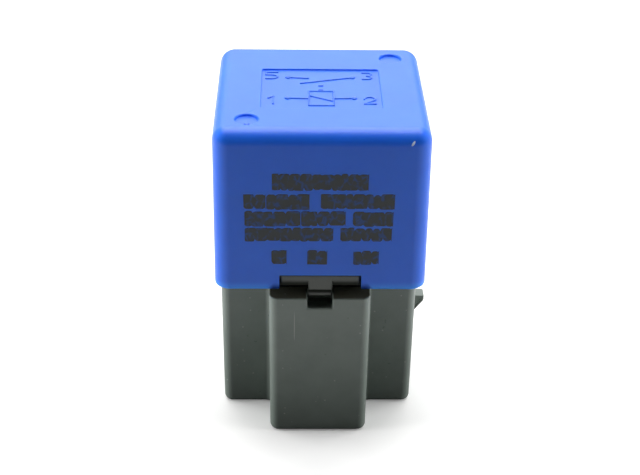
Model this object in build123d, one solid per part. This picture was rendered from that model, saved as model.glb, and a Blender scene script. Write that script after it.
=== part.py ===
from build123d import *
import math
import os

# Plug-in automotive relay: a moulded cover over a hinged magnet system on a moulded base, with
# a cross-shaped housing below that shrouds four sockets. Millimetres, +Z up, the front is -Y.
# The origin is at the centre of the leg housing's flat bottom.

# Cover
COVER_WIDTH = 27.0          # across the lower edge, both ways
COVER_LIFT = 1.65           # of the lower edge above the leg housing
COVER_HEIGHT = 22.26
COVER_DRAFT = 0.15          # each wall leans in by this much towards the top
COVER_WALL = 1.2
COVER_ROOF = 1.3
COVER_EDGE_R = 2.0          # of its upright and its upper edges
COVER_INNER_R = 0.9
NOTCH_WIDTH = 10.45         # in the lower edge, front and rear
NOTCH_HEIGHT = 2.15
PANEL_SIDE = 5.9            # from the cover's sides to the recessed panel on the roof
PANEL_FRONT = 6.9
PANEL_REAR = 8.2
PANEL_DEPTH = 0.22
PANEL_R = 0.35
DIMPLE_INSET = 4.25         # of the two dimples on a diagonal of the roof
DIMPLE_R = 1.55
DIMPLE_FLOOR_R = 1.25
DIMPLE_DEPTH = 0.35

# Leg housing
ARM_WIDTH = 13.2            # of each arm of the cross, at its top
ARM_SETBACK = 0.4           # of the arms' ends behind the cover's faces, at their top
HOUSING_HEIGHT = 21.8
HOUSING_DRAFT = 0.1         # each face leans in by this much towards the bottom
ARM_EDGE_R = 1.2            # of the arms' upright outer edges
ARM_ROOT_R = 0.65
HOUSING_BEVEL = 0.4         # round the bottom
HOUSING_FLOOR = 1.4
WELL_WALL = 1.4             # between the sockets and the well in the middle
WELL_R = 1.0
KEYWAY_WIDTH = 3.26         # notch in the top of the front and the rear arm
KEYWAY_DEPTH = 1.53
HOOK_WIDTH = 1.9            # lock hook on the +X arm
HOOK_REACH = 1.75
HOOK_TOP = 14.3
HOOK_TIP = 0.85             # height of the hook's upright tip
HOOK_FOOT = 11.1

# Base
BASE_THICKNESS = 2.55
BASE_EDGE_GAP = 0.05        # between the base and the cover's inner walls
PLINTH_WIDTH = 11.0         # cross under the base that stands on the leg housing
PLINTH_LIP = 0.4            # outside the terminals' strips
BASE_WELL = 9.0             # square well under the base, which keeps its walls even
BASE_WELL_DEPTH = 2.4
TAB_GAP = 0.25              # around the tab in the cover's notch
TAB_SETBACK = 0.35          # of the tab's face behind the cover's face
TAB_EDGE_R = 1.2            # of the tab's lower front edge
TONGUE_WIDTH = 3.0          # tongue that drops into the leg housing's notch
TONGUE_THICKNESS = 0.8
TONGUE_DROP = 0.45          # below the leg housing's top
TONGUE_GAP = 0.6            # between the tongue and the plinth
RIB_WIDTH = 8.0             # rib that backs the fixed contact's strip
RIB_THICKNESS = 1.2
RIB_HEIGHT = 6.0

# Terminals: folded strip with a socket at the foot
STRIP = 0.5
STRIP_MARGIN = 2.9          # between each strip's inner face and the cover
STRIP_WIDTH = 5.0
SOCKET_WIDTH = 7.5
SOCKET_HEIGHT = 2.35        # from the back of the strip to the top of its rolled edges
SOCKET_LENGTH = 9.0
SOCKET_ROLL = 2.2           # width of each rolled edge
SOCKET_R = 0.4              # of the folds, along the middle of the strip
BLADE_WIDTH = 6.3           # of the blade that goes into the socket
BLADE_THICKNESS = 0.8
BLADE_CLEARANCE = 0.35      # of the mouth around the blade
MOUTH_BEVEL = 0.5
CAVITY_CLEARANCE = 0.15     # of the socket and its strip in the leg housing
SLOT_CLEARANCE = 0.05       # of a strip in the base
COIL_TERMINAL_WIDTH = 3.0
COIL_TERMINAL_RISE = 4.0    # above the base
COIL_TERMINAL_NOTCH = 0.8   # for the lead
STRIP_TO_SPRING = 1.0       # between the rear strip's top and the spring's lower end

# Magnet system
YOKE_THICKNESS = 1.4
YOKE_WIDTH = 12.0
YOKE_HEADROOM = 4.41        # above the yoke, for the armature, its spring and the stop gate
YOKE_BEND_R = 1.6
YOKE_FOOT_REACH = 5.2       # of the foot in front of the coil's axis
CORE_RATIO = 0.4545         # of the core's radius to the winding's
CORE_SHOULDER = 1.0         # of the core round its spigot in the yoke's foot
POLE_OVERHANG = 1.5         # of the pole head round the core
POLE_THICKNESS = 1.0
CORE_GAP = 0.05             # between the core and the bobbin's bore
BOBBIN_WALL = 0.8
FLANGE_YOKE_GAP = 0.3
FLANGE_SHELF_GAP = 0.4      # before the flanges, to the fixed contact's shelf
FLANGE_THICKNESS = 1.0
FLANGE_R = 1.2
WINDING_MARGIN = 0.5        # inside the flanges
LEAD_R = 0.15
LEAD_SIDES = 8              # flats round the wire
SOLDER_SIDES = 16           # flats round the bead
LEAD_RISE = 2.2             # of the lead's start above the terminal's notch
LEAD_END = 0.4              # of the lead past its terminal
SOLDER_R = 0.75
SOLDER_TIP = 0.12
SOLDER_HEIGHT = 0.6
SEAT_GAP = 0.02             # between pieces that lie against each other

# Armature and contacts
ARMATURE_THICKNESS = 1.4
ARMATURE_WIDTH = 11.0
ARMATURE_NOSE_GAP = 1.0     # at each side of its nose, inside the stop gate
ARMATURE_NOSE_REACH = 0.1   # in front of the stop gate
ARMATURE_GATE_GAP = 0.4     # behind the stop gate, where the plate narrows to its nose
ARMATURE_BEVEL = 0.72       # of its rear edge, as a share of the spring's bend radius
ARMATURE_SEAT_GAP = 0.03    # left between the armature and the yoke when it is pulled in
SPRING_THICKNESS = 0.25
SPRING_WIDTH = 8.0
SPRING_TIP_WIDTH = 4.0
SPRING_BEND_R = 0.9
SPRING_LEG = 6.0            # length down the back of the yoke
SPRING_WINDOW = 3.6         # opening at the bend, between two straps
SPRING_WINDOW_REACH = 3.2   # of the opening forward of the hinge
SPRING_WINDOW_DROP = 1.4    # of the opening below the hinge
CONTACT_INSET = 1.6         # of the contacts from the back of the front strip
CONTACT_R = 1.3
CONTACT_THICKNESS = 0.8
CONTACT_BEVEL = 0.2
CONTACT_SHANK_R = 0.7
CONTACT_BACK = 0.3          # height of the riveted end
CONTACT_GAP = 0.6           # between the open contacts
CONTACT_SEAT_GAP = 0.02    # between the closed contacts
CONTACT_SHANK_HEAD = 0.85   # of the riveted end, as a share of the contact's radius
SHELF_BEND_R = 0.5
SHELF_REACH = 3.0           # of the bent-over top of the fixed contact's strip
RIVET_R = 0.6
RIVET_HEAD_R = 1.1
RIVET_HEAD = 0.35
RIVET_SPACING = 4.6
YOKE_RIVET_RISE = 1.6       # of the yoke's rivets above the spring's lower end
RIVET_CLEARANCE = 0.02
STOP_GAP = 0.03             # between the stop gate and the spring at rest
STOP_THICKNESS = 1.1
STOP_DEPTH = 1.6
STOP_POST = 1.4

# Places that follow from the sizes
cover_half = COVER_WIDTH / 2
cover_bottom = HOUSING_HEIGHT + COVER_LIFT
cover_top = cover_bottom + COVER_HEIGHT
cavity_half = cover_half - COVER_WALL
cavity_top = cover_top - COVER_ROOF
cross_half = cover_half - ARM_SETBACK
base_top = cover_bottom + BASE_THICKNESS
strip_face = cavity_half - STRIP_MARGIN
strip_back = strip_face + STRIP
cavity_outer = strip_back + CAVITY_CLEARANCE
cavity_inner = strip_back - SOCKET_HEIGHT - CAVITY_CLEARANCE
plinth_half = strip_back + PLINTH_LIP
tongue_back = plinth_half + TONGUE_GAP

# The coil fills the room between the yoke and the fixed contact's shelf
yoke_top = cavity_top - YOKE_HEADROOM
foot_top = base_top + YOKE_THICKNESS
pole_bottom = yoke_top - POLE_THICKNESS
flange_rear = strip_face - YOKE_THICKNESS - FLANGE_YOKE_GAP
flange_front = -strip_back + SHELF_REACH + FLANGE_SHELF_GAP
flange_width = flange_rear - flange_front
coil_y = (flange_rear + flange_front) / 2
winding_r = flange_width / 2 - WINDING_MARGIN
core_r = winding_r * CORE_RATIO
spigot_r = core_r - CORE_SHOULDER
pole_r = core_r + POLE_OVERHANG
bore_r = core_r + CORE_GAP
post_outer = flange_width / 2 - FLANGE_R
post_inner = post_outer - STOP_POST
gate_back = flange_front + STOP_DEPTH
neck_y = gate_back + ARMATURE_GATE_GAP
lead_z = base_top + COIL_TERMINAL_RISE - COIL_TERMINAL_NOTCH / 2

# Heights with the armature pulled in; at rest it is swung open about the yoke's rear edge
hinge_y = strip_face
hinge_z = yoke_top
armature_bottom = yoke_top + ARMATURE_SEAT_GAP
armature_top = armature_bottom + ARMATURE_THICKNESS
spring_top = armature_top + SPRING_THICKNESS
spring_foot = yoke_top - SPRING_LEG
yoke_rivet_z = spring_foot + YOKE_RIVET_RISE
contact_y = -strip_back + CONTACT_INSET
open_angle = math.degrees(CONTACT_GAP / (hinge_y - contact_y))
moving_face = armature_top - CONTACT_THICKNESS - CONTACT_BACK
fixed_face = moving_face - CONTACT_SEAT_GAP
shelf_top = fixed_face - CONTACT_THICKNESS

# The terminals by leg: 5 at the front, 2 at the right, 3 at the rear and 1 at the left
strip_turns = {"terminal_5": 0, "terminal_2": 90, "terminal_3": 180, "terminal_1": 270}
strip_widths = {"terminal_5": STRIP_WIDTH, "terminal_2": COIL_TERMINAL_WIDTH,
                "terminal_3": STRIP_WIDTH, "terminal_1": COIL_TERMINAL_WIDTH}
strip_tops = {"terminal_5": shelf_top - 2 * STRIP, "terminal_2": base_top + COIL_TERMINAL_RISE,
              "terminal_3": spring_foot - STRIP_TO_SPRING,
              "terminal_1": base_top + COIL_TERMINAL_RISE}


def opened(shape):
    """Swing a piece of the armature from its pulled-in place to its place at rest."""
    about_hinge = Pos(0, hinge_y, hinge_z) * Rot(-open_angle, 0, 0) * Pos(0, -hinge_y, -hinge_z)
    return about_hinge * shape


def turned(shape, turn):
    """Turn a piece about the vertical axis of the relay."""
    return Rot(0, 0, turn) * shape


def plus(span, width):
    """Cross with four equal arms."""
    return Rectangle(span, width) + Rectangle(width, span)


def drafted(outline, base_z, height, lean):
    """Prism with flat walls that lean in by that much over its height, up or down."""
    draft = math.degrees(math.atan2(lean, abs(height)))
    return extrude(Pos(0, 0, base_z) * outline, amount=abs(height),
                   dir=(0, 0, math.copysign(1, height)), taper=draft)


def upright_edges(solid):
    """The nearly vertical edges of a drafted prism."""
    return solid.edges().filter_by(lambda e: abs((e % 0.5).Z) > 0.9)


def ring_of(shape, count=2):
    """The same piece at the front and the rear, or at all four sides."""
    return [turned(shape, number * 360 / count) for number in range(count)]


def block(x0, x1, y0, y1, z0, z1):
    """Box from its limits."""
    centre = Pos((x0 + x1) / 2, (y0 + y1) / 2, (z0 + z1) / 2)
    return centre * Box(x1 - x0, y1 - y0, z1 - z0)


def post(x, y, z, radius, height):
    """Upright cylinder from the centre of its foot."""
    return Pos(x, y, z) * Cylinder(radius, height, align=(Align.CENTER, Align.CENTER, Align.MIN))


def rivet(*heights_and_radii):
    """Upright rivet or pin from its foot at the origin, as (height, radius) steps."""
    solid = Part()
    z = 0
    for height, radius in heights_and_radii:
        solid += post(0, 0, z, radius, height)
        z += height
    return solid


def cover():
    """Five-sided cap with leaning walls, a notch front and rear, and a recess in the roof."""
    shell = drafted(Rectangle(COVER_WIDTH, COVER_WIDTH), cover_bottom, COVER_HEIGHT, COVER_DRAFT)
    upper_edges = shell.faces().sort_by(Axis.Z)[-1].edges()
    shell = fillet(upright_edges(shell) + upper_edges, COVER_EDGE_R)
    inside = drafted(Rectangle(2 * cavity_half, 2 * cavity_half), cover_bottom,
                     COVER_HEIGHT - COVER_ROOF, COVER_DRAFT)
    shell -= fillet(upright_edges(inside), COVER_INNER_R)
    notch_top = cover_bottom + NOTCH_HEIGHT
    notch = block(-NOTCH_WIDTH / 2, NOTCH_WIDTH / 2, -cover_half - 1, -cavity_half + 1,
                  cover_bottom - 1, notch_top)
    for cut in ring_of(notch):
        shell -= cut
    panel = RectangleRounded(COVER_WIDTH - 2 * PANEL_SIDE, COVER_WIDTH - PANEL_FRONT - PANEL_REAR,
                             PANEL_R)
    panel_y = (PANEL_FRONT - PANEL_REAR) / 2
    shell -= extrude(Pos(0, panel_y, cover_top) * panel, amount=-PANEL_DEPTH)
    # The dimples are shallow dishes
    dish = Cone(DIMPLE_FLOOR_R, DIMPLE_R, DIMPLE_DEPTH,
                align=(Align.CENTER, Align.CENTER, Align.MAX))
    for side in (-1, 1):
        inset = side * (cover_half - DIMPLE_INSET)
        shell -= Pos(inset, inset, cover_top) * dish
    return shell


def leg_housing():
    """Cross with leaning walls: a well in the middle, and one socket's cavity in each arm."""
    body = drafted(plus(2 * cross_half, ARM_WIDTH), HOUSING_HEIGHT, -HOUSING_HEIGHT, HOUSING_DRAFT)
    roots = upright_edges(body).group_by(lambda e: round((e @ 0.5).X**2 + (e @ 0.5).Y**2))[0]
    body = fillet(roots, ARM_ROOT_R)
    tips = upright_edges(body).filter_by(lambda e: (e @ 0.5).X**2 + (e @ 0.5).Y**2 > cross_half**2)
    body = fillet(tips, ARM_EDGE_R)
    body = chamfer(body.faces().sort_by(Axis.Z)[0].edges(), HOUSING_BEVEL)
    # The well in the middle saves material and keeps the walls even
    well_width = 2 * (cavity_inner - WELL_WALL)
    well = RectangleRounded(well_width, well_width, WELL_R)
    body -= extrude(Pos(0, 0, HOUSING_FLOOR) * well, amount=HOUSING_HEIGHT)
    # Each arm holds one socket, with a mouth for the blade in its floor
    socket_half = SOCKET_WIDTH / 2 + CAVITY_CLEARANCE
    cavity = block(-socket_half, socket_half, -cavity_outer, -cavity_inner,
                   HOUSING_FLOOR, HOUSING_HEIGHT + 1)
    mouth_y = -strip_face + BLADE_THICKNESS / 2
    mouth_l = BLADE_WIDTH + 2 * BLADE_CLEARANCE
    mouth_w = BLADE_THICKNESS + 2 * BLADE_CLEARANCE
    mouth = Pos(0, mouth_y, HOUSING_FLOOR / 2) * Box(mouth_l, mouth_w, 2 * HOUSING_FLOOR)
    lip = Pos(0, mouth_y, 0) * Rectangle(mouth_l + 2 * MOUTH_BEVEL, mouth_w + 2 * MOUTH_BEVEL)
    bevel = drafted(lip, 0, MOUTH_BEVEL, MOUTH_BEVEL)
    for cut in ring_of(cavity, 4) + ring_of(mouth, 4) + ring_of(bevel, 4):
        body -= cut
    keyway = block(-KEYWAY_WIDTH / 2, KEYWAY_WIDTH / 2, -cross_half - 1,
                   -tongue_back + CAVITY_CLEARANCE, HOUSING_HEIGHT - KEYWAY_DEPTH,
                   HOUSING_HEIGHT + 1)
    for cut in ring_of(keyway):
        body -= cut
    return body + lock_hook()


def lock_hook():
    """Barb on the outer face of the +X arm: flat on top, upright tip, slanted below."""
    root = cross_half - 1
    tip = cross_half + HOOK_REACH
    outline = Polyline((root, HOOK_FOOT - 0.5), (cross_half, HOOK_FOOT), (tip, HOOK_TOP - HOOK_TIP),
                       (tip, HOOK_TOP), (root, HOOK_TOP), close=True)
    return extrude(Plane.XZ * make_face(outline), amount=HOOK_WIDTH / 2, both=True)


def base():
    """Plate inside the cover on a cross-shaped plinth, with tabs, tongues, a rib and slots."""
    side = 2 * (cavity_half - BASE_EDGE_GAP)
    lean = COVER_DRAFT * BASE_THICKNESS / COVER_HEIGHT
    plate = drafted(Rectangle(side, side), cover_bottom, BASE_THICKNESS, lean)
    plate = fillet(upright_edges(plate), COVER_INNER_R)
    plinth = Pos(0, 0, HOUSING_HEIGHT) * plus(2 * plinth_half, PLINTH_WIDTH)
    plate += extrude(plinth, amount=cover_bottom - HOUSING_HEIGHT)
    well = Pos(0, 0, HOUSING_HEIGHT) * RectangleRounded(BASE_WELL, BASE_WELL, WELL_R)
    plate -= extrude(well, amount=BASE_WELL_DEPTH)
    # Tab in the cover's notch, rounded under, with a tongue down into the leg housing
    tab_half = NOTCH_WIDTH / 2 - TAB_GAP
    tab_face = -cover_half + TAB_SETBACK
    tab_top = cover_bottom + NOTCH_HEIGHT - TAB_GAP
    tab = block(-tab_half, tab_half, tab_face, -cavity_half + 1, cover_bottom, tab_top)
    under = tab.edges().filter_by(Axis.X).group_by(Axis.Z)[0].sort_by(Axis.Y)[0]
    tab = fillet(under, TAB_EDGE_R)
    tongue_front = -tongue_back - TONGUE_THICKNESS
    tongue_foot = HOUSING_HEIGHT - TONGUE_DROP
    tab += block(-TONGUE_WIDTH / 2, TONGUE_WIDTH / 2, tab_face, -tongue_back,
                 cover_bottom - TAB_GAP, tab_top)
    tab += block(-TONGUE_WIDTH / 2, TONGUE_WIDTH / 2, tongue_front, -tongue_back,
                 tongue_foot, tab_top)
    for piece in ring_of(tab):
        plate += piece
    plate += block(-RIB_WIDTH / 2, RIB_WIDTH / 2, -strip_face + SLOT_CLEARANCE,
                   -strip_face + SLOT_CLEARANCE + RIB_THICKNESS, base_top, base_top + RIB_HEIGHT)
    for name, width in strip_widths.items():
        half = width / 2 + SLOT_CLEARANCE
        slot = block(-half, half, -strip_back - SLOT_CLEARANCE, -strip_face + SLOT_CLEARANCE,
                     HOUSING_HEIGHT - 1, base_top + 1)
        plate -= turned(slot, strip_turns[name])
    return plate


def socket():
    """Socket at the front leg: flat back and two edges rolled in over the blade's place."""
    back = STRIP / 2
    edge = (SOCKET_WIDTH - STRIP) / 2
    roof = SOCKET_HEIGHT - STRIP / 2
    lip = edge - SOCKET_ROLL
    lip_end = STRIP + BLADE_THICKNESS + SLOT_CLEARANCE
    right = [(0, back), (edge, back), (edge, roof), (lip, roof), (lip, lip_end)]
    left = [(-x, y) for x, y in right[:0:-1]]
    middle = FilletPolyline(*left, *right[1:], radius=SOCKET_R)
    section = trace(middle, line_width=STRIP)
    outline = Pos(0, -strip_back, HOUSING_FLOOR) * section
    return extrude(outline, amount=SOCKET_LENGTH)


def terminal(name):
    """Socket, neck and upright strip, bent or notched at its top as its place asks."""
    half = strip_widths[name] / 2
    top = strip_tops[name]
    neck_z = HOUSING_FLOOR + SOCKET_LENGTH
    strip = socket() + block(-half, half, -strip_back, -strip_face, neck_z - 1, top)
    if name == "terminal_5":
        strip += contact_shelf()
    if strip_widths[name] == COIL_TERMINAL_WIDTH:
        notch = COIL_TERMINAL_NOTCH / 2
        strip -= block(-notch, notch, -strip_back - 1, -strip_face + 1, top - 2 * notch, top + 1)
    return turned(strip, strip_turns[name])


def contact_shelf():
    """Bent-over top of the front strip, which carries the fixed contact."""
    middle_y = -strip_back + STRIP / 2
    middle_z = shelf_top - STRIP / 2
    path = FilletPolyline((middle_y, middle_z - 2 * STRIP), (middle_y, middle_z),
                          (-strip_back + SHELF_REACH, middle_z), radius=SHELF_BEND_R)
    bend = extrude(Plane.YZ * trace(path, line_width=STRIP), amount=STRIP_WIDTH / 2, both=True)
    hole = Pos(0, contact_y, shelf_top) * Cylinder(CONTACT_SHANK_R + RIVET_CLEARANCE, 4 * STRIP)
    return bend - hole


def yoke():
    """Bent iron strip: the core is riveted in its foot, and the armature rocks on its top."""
    front = coil_y - YOKE_FOOT_REACH
    outline = Polyline((front, base_top), (strip_face, base_top), (strip_face, yoke_top),
                       (strip_face - YOKE_THICKNESS, yoke_top),
                       (strip_face - YOKE_THICKNESS, foot_top), (front, foot_top), close=True)
    section = make_face(outline)
    heel = section.vertices().sort_by(lambda v: v.X - v.Y)[-1]
    section = fillet(heel, YOKE_BEND_R)
    iron = extrude(Plane.YZ * section, amount=YOKE_WIDTH / 2, both=True)
    iron -= post(0, coil_y, base_top, spigot_r + RIVET_CLEARANCE, YOKE_THICKNESS)
    return iron - yoke_rivet_shanks(RIVET_R + RIVET_CLEARANCE)


def yoke_rivet_shanks(radius):
    """Pins where the spring is riveted to the yoke."""
    shanks = []
    for side in (-1, 1):
        place = Pos(side * RIVET_SPACING / 2, strip_face - YOKE_THICKNESS / 2, yoke_rivet_z)
        shanks.append(place * Rot(90, 0, 0) * Cylinder(radius, 4 * YOKE_THICKNESS))
    return shanks


def core():
    """Iron pin: spigot in the yoke's foot, shank through the bobbin and a wide pole head."""
    pin = rivet((YOKE_THICKNESS, spigot_r), (pole_bottom - foot_top, core_r),
                (POLE_THICKNESS, pole_r))
    return Pos(0, coil_y, base_top) * pin


def bobbin():
    """Spool between the yoke's foot and the pole head, with the stop gate on its upper flange."""
    flange = RectangleRounded(flange_width, flange_width, FLANGE_R)
    spool = post(0, coil_y, foot_top, bore_r + BOBBIN_WALL, pole_bottom - foot_top)
    for z in (foot_top, pole_bottom - FLANGE_THICKNESS):
        spool += extrude(Pos(0, coil_y, z) * flange, amount=FLANGE_THICKNESS)
    spool -= post(0, coil_y, foot_top, bore_r, pole_bottom - foot_top)
    return spool + stop_gate()


def stop_gate():
    """Moulded gate on the upper flange that ends the armature's way up."""
    lean = math.radians(open_angle)
    under = (hinge_z + (spring_top - hinge_z) / math.cos(lean)
             + (hinge_y - flange_front) * math.tan(lean) + STOP_GAP)
    gate = block(-post_outer, post_outer, flange_front, gate_back,
                 pole_bottom - FLANGE_THICKNESS, under + STOP_THICKNESS)
    return gate - block(-post_inner, post_inner, flange_front - 1, gate_back + 1, pole_bottom, under)


def winding():
    """The wound wire, as one ring between the flanges."""
    low = foot_top + FLANGE_THICKNESS + SEAT_GAP
    height = pole_bottom - FLANGE_THICKNESS - SEAT_GAP - low
    inner_r = bore_r + BOBBIN_WALL + SEAT_GAP
    return post(0, coil_y, low, winding_r, height) - post(0, coil_y, low, inner_r, height)


def lead(side):
    """One end of the winding, from the coil's flank down to its terminal's notch."""
    flank = side * (winding_r + LEAD_R + SEAT_GAP)
    start = Vector(flank, coil_y, lead_z + LEAD_RISE)
    bend = Vector(flank, coil_y, lead_z + LEAD_END)
    corner = Vector(side * (strip_face + winding_r) / 2, 0, lead_z)
    end = Vector(side * (strip_back + LEAD_END), 0, lead_z)
    wire = Plane(origin=start, z_dir=bend - start) * RegularPolygon(LEAD_R, LEAD_SIDES)
    return sweep(wire, path=Polyline(start, bend, corner, end), transition=Transition.RIGHT)


def solder_joints():
    """Bead on the outer face of each coil terminal, with the lead's end inside it."""
    hole_r = LEAD_R + SEAT_GAP
    lean = (SOLDER_R - hole_r - SOLDER_TIP) * math.cos(math.pi / SOLDER_SIDES)
    bead = drafted(RegularPolygon(SOLDER_R, SOLDER_SIDES), 0, SOLDER_HEIGHT, lean)
    bead -= extrude(RegularPolygon(hole_r, LEAD_SIDES), amount=SOLDER_HEIGHT)
    return ring_of(Pos(strip_back + SEAT_GAP, 0, lead_z) * Rot(0, 90, 0) * bead)


def armature():
    """Plate with a narrower nose that passes through the stop gate, bevelled at the hinge."""
    back = hinge_y - SEAT_GAP
    front = flange_front - ARMATURE_NOSE_REACH
    wide = ARMATURE_WIDTH / 2
    nose = post_inner - ARMATURE_NOSE_GAP
    shoulder = neck_y + wide - nose
    outline = Polyline((-wide, back), (-wide, shoulder), (-nose, neck_y), (-nose, front),
                       (nose, front), (nose, neck_y), (wide, shoulder), (wide, back), close=True)
    plate = extrude(Pos(0, 0, armature_bottom) * make_face(outline), amount=ARMATURE_THICKNESS)
    heel = plate.faces().sort_by(Axis.Y)[-1].edges().sort_by(Axis.Z)[-1]
    plate = chamfer(heel, ARMATURE_BEVEL * SPRING_BEND_R)
    for shank in armature_rivet_shanks(RIVET_R + RIVET_CLEARANCE):
        plate -= shank
    return opened(plate)


def armature_rivet_shanks(radius):
    """Pins where the spring is riveted to the armature, before it swings open."""
    return [post(side * RIVET_SPACING / 2, coil_y, pole_bottom, radius, cavity_top - pole_bottom)
            for side in (-1, 1)]


def contact_spring():
    """Leaf that lies on the armature and turns down behind the yoke, with a window at the bend."""
    lean = math.radians(open_angle)
    lift = (armature_top + SPRING_THICKNESS / 2 - hinge_z) / math.cos(lean)
    tip_y = contact_y - CONTACT_R
    back_y = strip_face + SPRING_THICKNESS / 2
    path = FilletPolyline((back_y, spring_foot),
                          (back_y, hinge_z + lift + (hinge_y - back_y) * math.tan(lean)),
                          (tip_y, hinge_z + lift + (hinge_y - tip_y) * math.tan(lean)),
                          radius=SPRING_BEND_R)
    leaf = extrude(Plane.YZ * trace(path, line_width=SPRING_THICKNESS), amount=SPRING_WIDTH / 2,
                   both=True)
    # The leaf narrows to its tip, so that it passes through the stop gate
    shoulder = neck_y + (SPRING_WIDTH - SPRING_TIP_WIDTH) / 2
    for side in (-1, 1):
        tip = side * SPRING_TIP_WIDTH / 2
        beyond = side * SPRING_WIDTH
        trim = Polyline((tip, tip_y - 1), (tip, neck_y), (side * SPRING_WIDTH / 2, shoulder),
                        (beyond, shoulder), (beyond, tip_y - 1), close=True)
        leaf -= extrude(Pos(0, 0, yoke_top) * make_face(trim), amount=cavity_top - yoke_top)
    leaf -= block(-SPRING_WINDOW / 2, SPRING_WINDOW / 2, hinge_y - SPRING_WINDOW_REACH,
                  strip_back + 1, hinge_z - SPRING_WINDOW_DROP, cavity_top)
    for shank in armature_rivet_shanks(RIVET_R + RIVET_CLEARANCE):
        leaf -= opened(shank)
    leaf -= opened(post(0, contact_y, moving_face, CONTACT_SHANK_R + RIVET_CLEARANCE,
                        cavity_top - moving_face))
    return leaf - yoke_rivet_shanks(RIVET_R + RIVET_CLEARANCE)


def contact_rivet(head, shank):
    """Contact with its face at the origin looking up, its shank and its riveted end below."""
    pin = rivet((CONTACT_BACK, CONTACT_R * CONTACT_SHANK_HEAD), (shank, CONTACT_SHANK_R))
    button = chamfer(post(0, 0, -head, CONTACT_R, head).edges().sort_by(Axis.Z)[-1], CONTACT_BEVEL)
    return button + Pos(0, 0, -head - shank - CONTACT_BACK) * pin


def moving_contact():
    button = contact_rivet(CONTACT_THICKNESS + CONTACT_BACK, SPRING_THICKNESS)
    return opened(Pos(0, contact_y, moving_face) * Rot(180, 0, 0) * button)


def fixed_contact():
    return Pos(0, contact_y, fixed_face) * contact_rivet(CONTACT_THICKNESS, STRIP)


def armature_rivets():
    pin = rivet((ARMATURE_THICKNESS + SPRING_THICKNESS, RIVET_R), (RIVET_HEAD, RIVET_HEAD_R))
    return [opened(Pos(side * RIVET_SPACING / 2, coil_y, armature_bottom) * pin)
            for side in (-1, 1)]


def yoke_rivets():
    pin = Rot(-90, 0, 0) * rivet((YOKE_THICKNESS + SPRING_THICKNESS, RIVET_R),
                                 (RIVET_HEAD, RIVET_HEAD_R))
    return [Pos(side * RIVET_SPACING / 2, strip_face - YOKE_THICKNESS, yoke_rivet_z) * pin
            for side in (-1, 1)]


def all_pieces():
    pieces = {
        "cover": cover(),
        "leg_housing": leg_housing(),
        "base": base(),
        "bobbin": bobbin(),
        "winding": winding(),
        "coil_lead_start": lead(-1),
        "coil_lead_finish": lead(1),
        "solder_joints": Compound(children=solder_joints()),
        "core": core(),
        "yoke": yoke(),
        "armature": armature(),
        "contact_spring": contact_spring(),
        "moving_contact": moving_contact(),
        "fixed_contact": fixed_contact(),
        "armature_rivets": Compound(children=armature_rivets()),
        "yoke_rivets": Compound(children=yoke_rivets()),
    }
    for name in strip_widths:
        pieces[name] = terminal(name)
    return pieces


os.makedirs("parts", exist_ok=True)
for node, shape in all_pieces().items():
    export_step(shape, f"parts/{node}.step")
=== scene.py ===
import math
import random

import bmesh
import bpy
from mathutils import Matrix, Vector


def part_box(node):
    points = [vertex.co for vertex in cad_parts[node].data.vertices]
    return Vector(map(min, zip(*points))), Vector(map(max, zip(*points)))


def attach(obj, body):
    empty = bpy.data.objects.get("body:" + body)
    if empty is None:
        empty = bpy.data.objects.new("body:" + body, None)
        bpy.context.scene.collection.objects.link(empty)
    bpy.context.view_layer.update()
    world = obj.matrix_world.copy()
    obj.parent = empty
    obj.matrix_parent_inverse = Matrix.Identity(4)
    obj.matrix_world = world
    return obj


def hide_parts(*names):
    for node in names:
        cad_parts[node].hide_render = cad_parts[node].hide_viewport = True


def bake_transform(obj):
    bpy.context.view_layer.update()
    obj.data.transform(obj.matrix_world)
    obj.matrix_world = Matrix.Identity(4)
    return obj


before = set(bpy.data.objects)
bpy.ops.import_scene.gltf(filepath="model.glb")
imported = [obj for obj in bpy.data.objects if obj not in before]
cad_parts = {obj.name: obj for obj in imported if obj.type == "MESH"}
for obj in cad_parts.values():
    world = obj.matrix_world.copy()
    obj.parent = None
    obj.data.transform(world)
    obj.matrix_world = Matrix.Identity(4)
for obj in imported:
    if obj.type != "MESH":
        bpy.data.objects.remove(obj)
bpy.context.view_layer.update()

# Leg housing: one glass-filled moulding in dark grey, a cross whose arms shroud the four sockets.
# The mould leaves its outer edges slightly rounded, and the faces satin with a faint flow pattern.
MM = 0.001
HOUSING_EDGE = 0.22 * MM
HOUSING_FOOT_EDGE = 0.3 * MM
HOUSING_GREY = (0.196, 0.232, 0.208, 1)
HOUSING_GREY_DEEP = (0.177, 0.210, 0.188, 1)
HOUSING_TOP_SHADE = (0.150, 0.150, 0.112, 1)          # painted shade on the arms' tops, where the cover overhangs them
HOUSING_TOP_SHADE_FROM = (21.74 * MM, 21.79 * MM)     # heights between which that begins
HOUSING_GLOSS = (0.24, 0.36)
FOOT_BAND = 0.7 * MM            # edges below this are the foot's
ARM_ROOT = 8 * MM               # and those of them nearer the middle than this stay sharp
WELD_WITHIN = 0.5e-6            # in metres
FLAT_WITHIN = math.radians(0.6)
SHARP_FROM = math.radians(28)
CREASE_FROM = math.radians(50)
FADE_FROM = 0.7                 # of the way out, where a round mask begins to fade
DUST = (0.35, 0.37, 0.35, 1)
DUST_CELLS = 900                # places for a speck in a metre
DUST_SHARE = 0.65               # of those places that stay clean
DUST_SIZE = 0.09                # of a speck, as a share of its place
RUB = (0.36, 0.38, 0.36, 1)
RUB_PLACE = Vector((-3.27, -13.1, 17.4)) * MM   # a fine upright scratch on the front arm
RUB_HALF = Vector((0.07, 0.4, 3.3)) * MM
RUB_RAGGED = (0.35, 2500)


def add(tree, kind, **values):
    """A node of a material or a geometry tree, with its settings or its inputs given by name."""
    made = tree.nodes.new(kind)
    for key, value in values.items():
        if hasattr(made, key):
            setattr(made, key, value)
        else:
            made.inputs[key.replace("_", " ")].default_value = value
    return made


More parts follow.
